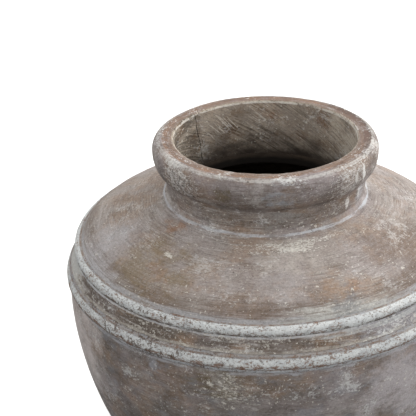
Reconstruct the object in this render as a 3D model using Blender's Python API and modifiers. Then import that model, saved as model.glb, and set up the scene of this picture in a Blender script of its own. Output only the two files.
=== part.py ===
# A large hand-built water pot: a round belly with two raised ridges, a short neck and a rolled rim.
# It stands on its base at the origin, with +Z up. Lengths are metres and colours are sRGB hex values.
# Every ring is an outline in (radius, height) that is turned once around the Z axis.

import math

import bmesh
import bpy
from mathutils import Matrix, Vector

# The whole pot
POT_HEIGHT = 0.420
BASE_RADIUS = 0.102
BELLY_RADIUS = 0.2049  # of the wall, behind the lower ridge
MOUTH_RADIUS = 0.093
WALL_THICKNESS = 0.011
FLOOR_THICKNESS = 0.014
LUTE_GAP = 0.0003  # the film of slip between two pieces that are stuck together

# The shoulder, and the band under it: two ridges, and between them the belt that hides the joint
SHOULDER_DROP = 0.0447  # from the neck's foot down to the shoulder's edge
BAND_HEIGHT = 0.0336  # from the shoulder's edge down to the middle of the lower ridge
BAND_SETBACK = 0.0123  # how much further in the band's top is
LOWER_RIDGE_PROUD = 0.0048
LOWER_RIDGE_HALF_WIDTH = 0.0090
UPPER_RIDGE_PROUD = 0.0048
UPPER_RIDGE_HALF_WIDTH = 0.0047
BELT_THICKNESS = 0.0040
BELT_EDGE = 0.0013
JOINT_GROOVE_DEPTH = 0.0030

# The curves of the walls, as shares of the way between the ends that they join
WALL_RADIUS_SHARES = (0.974, 1.086)
WALL_HEIGHT_SHARES = (0.356, 0.871)
SHOULDER_RADIUS_SHARE = 0.937
SHOULDER_HEIGHT_SHARE = 0.407
JOINT_GROOVE_SHARES = (0.26, 0.50, 0.74)

# The neck and the rim
NECK_HEIGHT = 0.0607
NECK_RADIUS = 0.1005
NECK_TOP_RADIUS = 0.1035
NECK_BORE_RADIUS = 0.0910
COLLAR_LIP_WIDTH = 0.0055
LIP_EDGE = 0.0014
ROLL_DEPTH = 0.0340
ROLL_RADIUS = 0.1144
RIM_TOP_RADIUS = 0.1066
ROLL_CREST_DROP = 0.0120
ROLL_CURVE_SHARE = 0.64
SEAM_WIDTH = 0.0006
SEAM_AZIMUTH = math.radians(138.5)
SEAM_SCARF_ANGLE = math.radians(38)

# The coils that are pressed into the corners, and the foot's worn edge
FLOOR_COIL_LEG = 0.017
BELLY_COIL_LEG = 0.012
BELLY_COIL_THICKNESS = 0.0040
NECK_COIL_LEG = 0.0044
COIL_HOLLOW_SHARE = 0.55
BULGE_REACH_SHARE = 4 / 3  # a cubic's handles stand this much further out than its middle
FOOT_EDGE = 0.0035

# How finely the curves are divided
TURN_STEPS = 64
SEARCH_STEPS = 40
SLAB_SIDE_STEPS = 2
FOOT_EDGE_STEPS = 3
WALL_STEPS = 9
SHOULDER_STEPS = 7
RIDGE_STEPS = 8
COIL_STEPS = 4
ROLL_TOP_STEPS = 4
ROLL_SIDE_STEPS = 5
SHARP_ANGLE = math.radians(35)


# Paths in (radius, height)
def at(radius, height):
    return Vector((radius, height))


def bezier(controls, share):
    points = list(controls)
    while len(points) > 1:
        points = [first.lerp(second, share) for first, second in zip(points, points[1:])]
    return points[0]


def curve(controls, steps, start=0.0, end=1.0):
    return [bezier(controls, start + (end - start) * step / steps) for step in range(steps + 1)]


def share_at_height(controls, height):
    # Halves the interval until the rising curve is at that height.
    low, high = 0.0, 1.0
    for _ in range(SEARCH_STEPS):
        middle = (low + high) / 2
        if bezier(controls, middle).y < height:
            low = middle
        else:
            high = middle
    return low


def offset(path, distance):
    # A parallel path, on the axis side of one that runs downwards.
    normals = []
    for first, second in zip(path, path[1:]):
        run = (second - first).normalized()
        normals.append(at(run.y, -run.x))
    moved = [path[0] + normals[0] * distance]
    for point, before, after in zip(path[1:], normals, normals[1:]):
        between = (before + after).normalized()
        moved.append(point + between * (distance / between.dot(before)))
    moved.append(path[-1] + normals[-1] * distance)
    return moved


def slide_to_height(point, neighbour, height):
    run = point - neighbour
    return neighbour + run * ((height - neighbour.y) / run.y)


def slide_to_radius(point, neighbour, radius):
    run = point - neighbour
    return neighbour + run * ((radius - neighbour.x) / run.x)


def walk(path, length):
    # The first stretch of a path, cut off at that length.
    taken = [path[0]]
    for first, second in zip(path, path[1:]):
        step = (second - first).length
        if step >= length:
            return taken + [first.lerp(second, length / step)]
        taken.append(second)
        length -= step
    return taken


def filled_corner(first_leg, second_leg):
    # A coil with a hollow face, smeared into the corner where two faces meet. Both legs start there.
    seat = offset(first_leg[:0:-1] + second_leg, LUTE_GAP)
    corner = seat[len(first_leg) - 1]
    pull = ((seat[0] + seat[-1]) / 2).lerp(corner, COIL_HOLLOW_SHARE)
    face = curve([seat[-1], pull, seat[0]], COIL_STEPS)
    return seat + face[1:-1]


# The outer line of the pot. A straight seat for the belt and the upper ridge joins its two corners:
# the lower one lies behind the lower ridge, and the upper one is the shoulder's edge
NECK_FOOT = at(NECK_RADIUS, POT_HEIGHT - NECK_HEIGHT)
LOWER_CORNER = at(BELLY_RADIUS, NECK_FOOT.y - SHOULDER_DROP - BAND_HEIGHT)
UPPER_CORNER = LOWER_CORNER + at(-BAND_SETBACK, BAND_HEIGHT)
SEAT_DOWN = (LOWER_CORNER - UPPER_CORNER).normalized()
SEAT_OUT = at(-SEAT_DOWN.y, SEAT_DOWN.x)
UPPER_RIDGE_CENTRE = UPPER_CORNER + SEAT_DOWN * UPPER_RIDGE_HALF_WIDTH
JOINT_HEIGHT = (LOWER_CORNER.y + UPPER_CORNER.y) / 2

ROLL_LEDGE_HEIGHT = POT_HEIGHT - ROLL_DEPTH
LIP_RADIUS = MOUTH_RADIUS + COLLAR_LIP_WIDTH

WALL_CURVE = [
    at(BASE_RADIUS, 0),
    at(
        BASE_RADIUS + WALL_RADIUS_SHARES[0] * (LOWER_CORNER.x - BASE_RADIUS),
        WALL_HEIGHT_SHARES[0] * LOWER_CORNER.y,
    ),
    at(
        BASE_RADIUS + WALL_RADIUS_SHARES[1] * (LOWER_CORNER.x - BASE_RADIUS),
        WALL_HEIGHT_SHARES[1] * LOWER_CORNER.y,
    ),
    LOWER_CORNER,
]
SHOULDER_CURVE = [
    NECK_FOOT,
    at(
        NECK_FOOT.x + SHOULDER_RADIUS_SHARE * (UPPER_CORNER.x - NECK_FOOT.x),
        UPPER_CORNER.y + SHOULDER_HEIGHT_SHARE * (NECK_FOOT.y - UPPER_CORNER.y),
    ),
    UPPER_CORNER,
]


# The faces of the two halves, each path running downwards
def lower_wall_faces():
    foot_height = FLOOR_THICKNESS + LUTE_GAP
    joint_height = JOINT_HEIGHT - LUTE_GAP / 2
    foot_share = share_at_height(WALL_CURVE, foot_height)
    belly = curve(WALL_CURVE, WALL_STEPS, start=1.0, end=foot_share)
    outer = [slide_to_height(UPPER_CORNER, LOWER_CORNER, joint_height)] + belly
    inner = offset(outer, WALL_THICKNESS)
    inner[0] = slide_to_height(inner[0], inner[1], joint_height)
    inner[-1] = slide_to_height(inner[-1], inner[-2], foot_height)
    return outer, inner


def shoulder_wall_faces():
    joint_height = JOINT_HEIGHT + LUTE_GAP / 2
    dome = curve(SHOULDER_CURVE, SHOULDER_STEPS)
    outer = dome + [slide_to_height(LOWER_CORNER, UPPER_CORNER, joint_height)]
    inner = offset(outer, WALL_THICKNESS)
    inner[0] = slide_to_radius(inner[0], inner[1], NECK_BORE_RADIUS)
    inner[-1] = slide_to_height(inner[-1], inner[-2], joint_height)
    return outer, inner


def joint_face(start, end):
    # The V across the joint that centres one half on the other.
    across = [start.lerp(end, share) for share in JOINT_GROOVE_SHARES]
    across[1].y -= JOINT_GROOVE_DEPTH
    return across


# The outline of each piece, running down its outer side and up its inner side
def base_slab():
    top_share = share_at_height(WALL_CURVE, FLOOR_THICKNESS)
    edge_share = share_at_height(WALL_CURVE, FOOT_EDGE)
    side = curve(WALL_CURVE, SLAB_SIDE_STEPS, start=top_share, end=edge_share)
    edge = curve([side[-1], WALL_CURVE[0], at(BASE_RADIUS - FOOT_EDGE, 0)], FOOT_EDGE_STEPS)
    return [at(0, FLOOR_THICKNESS)] + side + edge[1:] + [at(0, 0)]


def lower_wall():
    outer, inner = lower_wall_faces()
    return outer + inner[::-1] + joint_face(inner[0], outer[0])


def shoulder_wall():
    outer, inner = shoulder_wall_faces()
    bore_top = at(NECK_BORE_RADIUS, NECK_FOOT.y)
    return outer + joint_face(outer[-1], inner[-1]) + inner[::-1] + [bore_top]


def floor_coil():
    inner = lower_wall_faces()[1]
    corner = at(inner[-1].x, FLOOR_THICKNESS)
    up_the_wall = walk([corner] + inner[-2::-1], FLOOR_COIL_LEG)
    across_the_floor = walk([corner, at(0, FLOOR_THICKNESS)], FLOOR_COIL_LEG)
    return filled_corner(up_the_wall, across_the_floor)


def belly_coil():
    above = walk(shoulder_wall_faces()[1][::-1], BELLY_COIL_LEG)
    below = walk(lower_wall_faces()[1], BELLY_COIL_LEG)
    seat = offset(above[:0:-1] + below[1:], LUTE_GAP)
    bulge = -SEAT_OUT * BELLY_COIL_THICKNESS * BULGE_REACH_SHARE
    face = curve([seat[-1], seat[-1] + bulge, seat[0] + bulge, seat[0]], COIL_STEPS)
    return seat + face[1:-1]


def ridge(centre, up, down, half_width, proud):
    # A half-round bead whose seat runs both ways from its centre, and may bend there.
    seat = offset([centre + down * half_width, centre, centre + up * half_width], LUTE_GAP)
    out = (seat[1] - centre).normalized()
    bead = []
    for step in range(RIDGE_STEPS + 1):
        angle = math.pi * step / RIDGE_STEPS
        along = up if math.cos(angle) > 0 else down
        bead.append(seat[1] + along * half_width * abs(math.cos(angle)) + out * proud * math.sin(angle))
    return bead + [seat[1]]


def lower_ridge():
    below = (WALL_CURVE[2] - LOWER_CORNER).normalized()
    return ridge(LOWER_CORNER, -SEAT_DOWN, below, LOWER_RIDGE_HALF_WIDTH, LOWER_RIDGE_PROUD)


def upper_ridge():
    return ridge(
        UPPER_RIDGE_CENTRE, -SEAT_DOWN, SEAT_DOWN, UPPER_RIDGE_HALF_WIDTH, UPPER_RIDGE_PROUD
    )


def belt():
    top = UPPER_RIDGE_CENTRE + SEAT_DOWN * (UPPER_RIDGE_HALF_WIDTH + LUTE_GAP) + SEAT_OUT * LUTE_GAP
    bottom = LOWER_CORNER - SEAT_DOWN * (LOWER_RIDGE_HALF_WIDTH + LUTE_GAP) + SEAT_OUT * LUTE_GAP
    face = SEAT_OUT * BELT_THICKNESS
    eased_face = SEAT_OUT * (BELT_THICKNESS - BELT_EDGE)
    edge = SEAT_DOWN * BELT_EDGE
    return [top + eased_face, top + face + edge, bottom + face - edge, bottom + eased_face, bottom, top]


def neck_face():
    # The neck's outer side, from the ledge under the roll to its foot.
    return [at(NECK_TOP_RADIUS, ROLL_LEDGE_HEIGHT), at(NECK_RADIUS, NECK_FOOT.y + LUTE_GAP)]


def neck_coil():
    down_the_shoulder = walk(shoulder_wall_faces()[0], NECK_COIL_LEG)
    up_the_neck = walk([NECK_FOOT, neck_face()[0]], NECK_COIL_LEG)
    return filled_corner(down_the_shoulder, up_the_neck)


def neck_collar():
    foot = at(NECK_BORE_RADIUS, NECK_FOOT.y + LUTE_GAP)
    lip = [at(MOUTH_RADIUS, POT_HEIGHT - LIP_EDGE), at(MOUTH_RADIUS + LIP_EDGE, POT_HEIGHT)]
    return [at(LIP_RADIUS, POT_HEIGHT), at(LIP_RADIUS, ROLL_LEDGE_HEIGHT)] + neck_face() + [foot] + lip


def rim_roll():
    inside = LIP_RADIUS + LUTE_GAP
    foot_height = ROLL_LEDGE_HEIGHT + LUTE_GAP
    crest = at(ROLL_RADIUS, POT_HEIGHT - ROLL_CREST_DROP)
    foot = at(NECK_TOP_RADIUS, foot_height)
    top = []
    for step in range(ROLL_TOP_STEPS + 1):
        angle = math.pi / 2 * (1 - step / ROLL_TOP_STEPS)
        reach = (ROLL_RADIUS - RIM_TOP_RADIUS) * math.cos(angle)
        rise = ROLL_CREST_DROP * math.sin(angle)
        top.append(at(RIM_TOP_RADIUS + reach, crest.y + rise))
    under = [
        crest.lerp(at(crest.x, foot_height), ROLL_CURVE_SHARE),
        foot.lerp(at(crest.x, foot_height), ROLL_CURVE_SHARE),
    ]
    side = curve([crest] + under + [foot], ROLL_SIDE_STEPS)
    return [at(inside, POT_HEIGHT)] + top + side[1:] + [at(inside, foot_height)]


# Objects
def linear(channel):
    return channel / 12.92 if channel <= 0.04045 else ((channel + 0.055) / 1.055) ** 2.4


def fired_clay(name, colour, roughness):
    material = bpy.data.materials.new(name)
    material.use_nodes = True
    shader = material.node_tree.nodes["Principled BSDF"]
    channels = [int(colour[index:index + 2], 16) / 255 for index in (0, 2, 4)]
    shader.inputs["Base Color"].default_value = [linear(channel) for channel in channels] + [1]
    shader.inputs["Roughness"].default_value = roughness
    shader.inputs["Metallic"].default_value = 0
    return material


def turned(name, outline, closed):
    # Turns an outline around the Z axis, and keeps the result as a mesh with crisp edges.
    profile_mesh = bpy.data.meshes.new(name + "_outline")
    edges = [(index, index + 1) for index in range(len(outline) - 1)]
    if closed:
        edges.append((len(outline) - 1, 0))
    profile_mesh.from_pydata([(point.x, 0, point.y) for point in outline], edges, [])
    profile = bpy.data.objects.new(name + "_outline", profile_mesh)
    bpy.context.scene.collection.objects.link(profile)
    screw = profile.modifiers.new("Turn", "SCREW")
    screw.steps = TURN_STEPS
    screw.render_steps = TURN_STEPS
    screw.use_merge_vertices = True
    screw.merge_threshold = LUTE_GAP / 10
    graph = bpy.context.evaluated_depsgraph_get()
    mesh = bpy.data.meshes.new_from_object(profile.evaluated_get(graph))
    mesh.name = name
    mesh.shade_smooth()
    mesh.set_sharp_from_angle(angle=SHARP_ANGLE)
    bpy.data.objects.remove(profile)
    bpy.data.meshes.remove(profile_mesh)
    return bpy.data.objects.new(name, mesh)


def seam_cutter():
    # A thin upright sheet that meets the bore at the seam's azimuth and leans off it like a scarf.
    height = POT_HEIGHT + NECK_HEIGHT
    length = 2 * (NECK_TOP_RADIUS - NECK_BORE_RADIUS) / math.cos(SEAM_SCARF_ANGLE)
    mesh = bpy.data.meshes.new("seam_cutter")
    shape = bmesh.new()
    size = Matrix.Diagonal((length, SEAM_WIDTH, height, 1))
    bmesh.ops.create_cube(shape, size=1, matrix=size)
    shape.to_mesh(mesh)
    shape.free()
    cutter = bpy.data.objects.new("seam_cutter", mesh)
    middle_radius = (NECK_TOP_RADIUS + NECK_BORE_RADIUS) / 2
    cutter.location = (
        middle_radius * math.cos(SEAM_AZIMUTH),
        middle_radius * math.sin(SEAM_AZIMUTH),
        POT_HEIGHT,
    )
    cutter.rotation_euler.z = SEAM_AZIMUTH + SEAM_SCARF_ANGLE
    cutter.hide_render = True
    cutter.display_type = "WIRE"
    return cutter


PIECES = [
    ("base_slab", base_slab, "6b625c", 0.95),
    ("base_joint_coil", floor_coil, "5f564f", 0.95),
    ("lower_wall", lower_wall, "6f6863", 0.88),
    ("belly_joint_coil", belly_coil, "5f564f", 0.95),
    ("shoulder_wall", shoulder_wall, "93897f", 0.86),
    ("lower_ridge_coil", lower_ridge, "b4b2ad", 0.92),
    ("belly_belt", belt, "7b726b", 0.88),
    ("upper_ridge_coil", upper_ridge, "b9b8b3", 0.92),
    ("neck_fillet_coil", neck_coil, "8b8784", 0.90),
    ("neck_collar", neck_collar, "6e6760", 0.90),
    ("rim_roll", rim_roll, "857b74", 0.88),
]


def main():
    for obj in list(bpy.data.objects):
        bpy.data.objects.remove(obj)
    pot = bpy.data.collections.new("water_pot")
    cutters = bpy.data.collections.new("cutters")
    for collection in (pot, cutters):
        bpy.context.scene.collection.children.link(collection)
    centre = bpy.data.objects.new("base_centre", None)
    pot.objects.link(centre)
    for name, outline, colour, roughness in PIECES:
        piece = turned(name, outline(), closed=outline is not base_slab)
        piece.data.materials.append(fired_clay(name, colour, roughness))
        piece.parent = centre
        pot.objects.link(piece)
    cutter = seam_cutter()
    cutters.objects.link(cutter)
    seam = bpy.data.objects["neck_collar"].modifiers.new("Seam", "BOOLEAN")
    seam.operation = "DIFFERENCE"
    seam.solver = "EXACT"
    seam.object = cutter


main()
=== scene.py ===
# The looks of a hand-built water pot in limewashed terracotta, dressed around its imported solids.
# Lengths in the dictionaries are millimetres, but those of the floor, the lamp and the camera are metres.
# Angles are degrees and colours are sRGB hex values.
import math

import bmesh
import bpy
from mathutils import Matrix, Vector


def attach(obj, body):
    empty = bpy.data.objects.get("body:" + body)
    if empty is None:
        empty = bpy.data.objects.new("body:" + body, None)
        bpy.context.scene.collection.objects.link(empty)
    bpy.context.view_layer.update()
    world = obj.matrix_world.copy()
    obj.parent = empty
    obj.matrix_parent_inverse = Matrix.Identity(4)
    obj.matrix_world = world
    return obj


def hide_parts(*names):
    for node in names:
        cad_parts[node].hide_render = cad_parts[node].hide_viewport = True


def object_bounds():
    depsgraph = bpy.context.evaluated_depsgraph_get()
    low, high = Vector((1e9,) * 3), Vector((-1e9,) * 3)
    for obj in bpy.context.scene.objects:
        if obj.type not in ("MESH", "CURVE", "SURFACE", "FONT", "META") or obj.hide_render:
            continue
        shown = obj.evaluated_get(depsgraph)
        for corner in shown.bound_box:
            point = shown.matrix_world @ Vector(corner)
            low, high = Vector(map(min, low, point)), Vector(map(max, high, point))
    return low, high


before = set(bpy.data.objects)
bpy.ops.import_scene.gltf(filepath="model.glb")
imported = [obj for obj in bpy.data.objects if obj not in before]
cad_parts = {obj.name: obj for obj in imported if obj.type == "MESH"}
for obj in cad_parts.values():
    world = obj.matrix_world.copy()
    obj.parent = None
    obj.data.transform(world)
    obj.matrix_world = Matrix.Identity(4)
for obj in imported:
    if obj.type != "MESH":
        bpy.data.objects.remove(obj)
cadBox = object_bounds()
print("stage: frame loaded, nodes", len(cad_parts))

mm = 0.001
sectors = 20  # the turned pieces are spun in this many equal parts
mergeDistance = 0.01  # points closer than this become one
smoothAngle = 60  # edges sharper than this stay crisp


def addNode(tree, kind, links=None, values=None, **settings):
    node = tree.nodes.new(kind)
    for name, value in settings.items():
        setattr(node, name, value)
    for name, value in (values or {}).items():
        node.inputs[name].default_value = value
    for name, socket in (links or {}).items():
        tree.links.new(socket, node.inputs[name])
    return node


def linearColour(hexColour):
    channels = [int(hexColour[start:start + 2], 16) / 255 for start in (1, 3, 5)]
    return [c / 12.92 if c <= 0.04045 else ((c + 0.055) / 1.055) ** 2.4 for c in channels] + [1]


def smoothstep(value, low, high):
    share = min(max((value - low) / (high - low), 0.0), 1.0)
    return share * share * (3 - 2 * share)


def bezierLine(controls, steps, start=0.0, end=1.0):
    line = []
    for step in range(steps + 1):
        share = start + (end - start) * step / steps
        points = [Vector(point) for point in controls]
        while len(points) > 1:
            points = [a.lerp(b, share) for a, b in zip(points, points[1:])]
        line.append(points[0])
    return line


def parallelLine(line, distance):  # towards the axis, for a line that runs downwards
    moved = []
    for index, point in enumerate(line):
        before = line[max(index - 1, 0)]
        after = line[min(index + 1, len(line) - 1)]
        run = (after - before).normalized()
        moved.append(point + Vector((run.y, -run.x)) * distance)
    return moved


def finerLine(outline, finer, closed=True):
    ends = outline[1:] + outline[:1] if closed else outline[1:]
    line = []
    for start, end in zip(outline, ends):
        for step in range(finer):
            line.append(Vector(start).lerp(Vector(end), step / finer))
    return line if closed else line + [Vector(outline[-1])]


def deselectAll():
    bpy.ops.object.select_all(action="DESELECT")


def makeActive(piece):
    deselectAll()
    piece.select_set(True)
    bpy.context.view_layer.objects.active = piece


def turnOutline(name, outline, steps, closed=True):
    # one point is drawn along the outline, and the outline is then spun about the upright axis
    deselectAll()
    bpy.ops.mesh.primitive_plane_add(size=2 * mm, location=(0, 0, 0))
    piece = bpy.context.object
    piece.name = piece.data.name = name
    bpy.ops.object.mode_set(mode="EDIT")
    bpy.ops.mesh.merge(type="CENTER")
    points = [Vector((radius, 0, height)) * mm for radius, height in outline]
    bpy.ops.transform.translate(value=points[0])
    for start, end in zip(points, points[1:]):
        bpy.ops.mesh.extrude_region_move(TRANSFORM_OT_translate={"value": end - start})
    if closed:
        drawn = bmesh.from_edit_mesh(piece.data)
        drawn.verts.ensure_lookup_table()
        drawn.verts[0].select = drawn.verts[-1].select = True
        bmesh.update_edit_mesh(piece.data)
        bpy.ops.mesh.edge_face_add()
    bpy.ops.mesh.select_all(action="SELECT")
    # one sector is spun first and then repeated round the axis, which is far quicker
    bpy.ops.mesh.spin(steps=steps // sectors, angle=math.tau / sectors, center=(0, 0, 0), axis=(0, 0, 1))
    bpy.ops.mesh.select_all(action="SELECT")
    rest = math.tau * (sectors - 1) / sectors
    bpy.ops.mesh.spin(steps=sectors - 1, angle=rest, center=(0, 0, 0), axis=(0, 0, 1), dupli=True)
    bpy.ops.mesh.select_all(action="SELECT")
    bpy.ops.mesh.remove_doubles(threshold=mergeDistance * mm)
    bpy.ops.mesh.normals_make_consistent(inside=False)
    bpy.ops.object.mode_set(mode="OBJECT")
    # where each point was drawn, so that painted bands follow the coil through every sway
    drawnAt = piece.data.attributes.new("drawnAt", "FLOAT_VECTOR", "POINT")
    for index, vertex in enumerate(piece.data.vertices):
        drawnAt.data[index].vector = (math.hypot(vertex.co.x, vertex.co.y), 0, vertex.co.z)
    return piece


def weighPoints(piece, name, weightAt):
    group = piece.vertex_groups.new(name=name)
    for vertex in piece.data.vertices:
        weight = weightAt(vertex.co)
        if weight > 0:
            group.add([vertex.index], min(weight, 1.0), "REPLACE")
    return group.name


def applyModifier(piece, kind, **settings):
    makeActive(piece)
    modifier = piece.modifiers.new(kind.title(), kind)
    for name, value in settings.items():
        setattr(modifier, name, value)
    bpy.ops.object.modifier_apply(modifier=modifier.name)


def cloudTexture(name, size, depth=2):
    texture = bpy.data.textures.new(name, "CLOUDS")
    texture.noise_scale = size * mm
    texture.noise_depth = depth
    texture.noise_basis = "IMPROVED_PERLIN"
    return texture


def azimuthOf(point):
    return math.degrees(math.atan2(point.y, point.x))


# the hand's own unevenness, one field for every piece, so that neighbours still meet
handShape = {
    # slow swells of the wall along each axis: how wide, how far, and the noise level that moves nothing
    "sways": {"X": (95, 1.5, 0.5), "Y": (104.5, 1.5, 0.5), "Z": (114, 1.3, 0.85)},
    # how wide and how deep: dents of a thumb, and what a wet sponge leaves
    "dents": {"thumbDents": (24, 0.5), "spongeRipples": (7, 0.16)},
}
swayFields = [
    (axis, cloudTexture("sway" + axis, wide), far, still)
    for axis, (wide, far, still) in handShape["sways"].items()
]
dentFields = [
    (cloudTexture(name, wide, depth=1), deep) for name, (wide, deep) in handShape["dents"].items()
]


def shapeByHand(piece):
    for axis, texture, far, still in swayFields:
        applyModifier(
            piece, "DISPLACE", texture=texture, direction=axis, texture_coords="LOCAL",
            strength=far * mm, mid_level=still,
        )
    for texture, deep in dentFields:
        applyModifier(
            piece, "DISPLACE", texture=texture, direction="NORMAL", texture_coords="LOCAL",
            strength=deep * mm, mid_level=0.5,
        )


def chipSurface(piece, chips, weightAt):
    # flakes come off where the lime is thin, and how deep each point went is kept as an attribute
    before = [vertex.co.copy() for vertex in piece.data.vertices]
    texture = bpy.data.textures.new(piece.name + "Flakes", "DISTORTED_NOISE")
    texture.noise_scale = chips["size"] * mm
    texture.noise_basis = texture.noise_distortion = "IMPROVED_PERLIN"
    texture.distortion = chips["ragged"]
    texture.use_color_ramp = True
    low, high = texture.color_ramp.elements
    low.position, low.color = chips["cut"][0], (0, 0, 0, 1)
    high.position, high.color = chips["cut"][1], (1, 1, 1, 1)
    applyModifier(
        piece, "DISPLACE", texture=texture, direction="NORMAL", texture_coords="LOCAL",
        strength=-chips["depth"] * mm, mid_level=0, vertex_group=weighPoints(piece, "flaking", weightAt),
    )
    lost = piece.data.attributes.new("flaked", "FLOAT", "POINT")
    for index, vertex in enumerate(piece.data.vertices):
        lost.data[index].value = min((vertex.co - before[index]).length / (chips["depth"] * mm), 1.0)


def keepInside(piece):
    low, high = cadBox
    for vertex in piece.data.vertices:
        held = [min(max(vertex.co[axis], low[axis]), high[axis]) for axis in range(3)]
        if held != list(vertex.co):
            vertex.co = held


def finishPiece(piece, node, material, lining=None):
    keepInside(piece)
    makeActive(piece)
    bpy.ops.object.shade_smooth_by_angle(angle=math.radians(smoothAngle))
    for group in list(piece.vertex_groups):
        piece.vertex_groups.remove(group)
    piece.data.materials.append(material)
    if lining:  # faces turned to the axis stay bare
        piece.data.materials.append(lining)
        for face in piece.data.polygons:
            if face.normal.x * face.center.x + face.normal.y * face.center.y < 0:
                face.material_index = 1
    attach(piece, "root")
    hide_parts(node)
    print("stage: made", piece.name, "with", len(piece.data.polygons), "faces")


def noiseField(tree, spaces, mark):
    # noise as wide as the real mark in each direction, turned about the y axis where strokes slant
    size = Vector(mark["size"]) * mm
    slant = math.radians(mark.get("slant", 0))
    place = addNode(
        tree, "ShaderNodeMapping", {"Vector": spaces[mark.get("space", "plain")]},
        {"Location": size * mark["seed"], "Rotation": (0, slant, 0), "Scale": size}, vector_type="TEXTURE",
    )
    noise = addNode(
        tree, "ShaderNodeTexNoise", {"Vector": place.outputs[0]},
        {"Scale": 1.0, "Detail": mark.get("detail", 3.0), "Roughness": mark.get("rough", 0.6),
         "Distortion": mark.get("bend", 0.0)},
    )
    return noise.outputs["Fac"]


def placeMask(tree, spaces, limit):
    kind = limit[0]
    if kind == "flaked":
        worn = addNode(tree, "ShaderNodeAttribute", attribute_name="flaked").outputs["Fac"]
        ends = {"From Min": limit[1], "From Max": limit[2]}
        return addNode(tree, "ShaderNodeMapRange", {"Value": worn}, ends).outputs["Result"]
    if kind == "near":  # a round place, or one so many times taller, that fades out from its middle
        reach = limit[2] * mm
        tall = limit[3] if len(limit) > 3 else 1
        offset = addNode(
            tree, "ShaderNodeMapping", {"Vector": spaces["plain"]},
            {"Location": Vector(limit[1]) * mm, "Scale": (reach, reach, reach * tall)},
            vector_type="TEXTURE",
        ).outputs[0]
        gap = addNode(tree, "ShaderNodeVectorMath", {0: offset}, operation="LENGTH").outputs["Value"]
        ends = {"From Min": 1.0, "From Max": 0.0}
        return addNode(
            tree, "ShaderNodeMapRange", {"Value": gap}, ends, interpolation_type="SMOOTHSTEP",
        ).outputs["Result"]
    # a band between two heights, radii or distances off the seam, with soft edges
    low, high, soft = [value * mm for value in limit[1:]]
    sides = []
    for edge, turn in ((low, 1), (high, -1)):
        ends = {"From Min": edge - turn * soft, "From Max": edge + turn * soft}
        sides.append(addNode(
            tree, "ShaderNodeMapRange", {"Value": spaces[kind]}, ends, interpolation_type="SMOOTHSTEP",
        ).outputs["Result"])
    return addNode(tree, "ShaderNodeMath", {0: sides[0], 1: sides[1]}, operation="MULTIPLY").outputs[0]


def stainMask(tree, spaces, mark):
    # patches and places lift or sink the noise before it is cut, so every edge stays ragged
    value = noiseField(tree, spaces, mark)
    low, high = mark["cut"]
    if "patch" in mark:
        gain = mark["patch"]["gain"]
        cloud = noiseField(tree, spaces, mark["patch"])
        value = addNode(
            tree, "ShaderNodeMath", {0: cloud, 2: value}, {1: gain}, operation="MULTIPLY_ADD",
        ).outputs[0]
        low, high = low + gain / 2, high + gain / 2
    inside = None
    for limit in mark.get("where", []):
        mask = placeMask(tree, spaces, limit)
        if inside:
            mask = addNode(tree, "ShaderNodeMath", {0: mask, 1: inside}, operation="MULTIPLY").outputs[0]
        inside = mask
    if inside:
        grip = mark.get("grip", 0.6)
        value = addNode(
            tree, "ShaderNodeMath", {0: inside, 2: value}, {1: grip}, operation="MULTIPLY_ADD",
        ).outputs[0]
        low, high = low + grip, high + grip
    return addNode(
        tree, "ShaderNodeMapRange", {"Value": value},
        {"From Min": low, "From Max": high, "To Max": mark["amount"]}, interpolation_type="SMOOTHSTEP",
    ).outputs["Result"]


# bare dark clay is a little smoother than pale lime, and the roughness follows the shade between them
clayFinish = {"ior": 1.45, "specular": 0.25, "shade": (0.05, 0.5), "roughness": (0.8, 0.96)}


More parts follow.
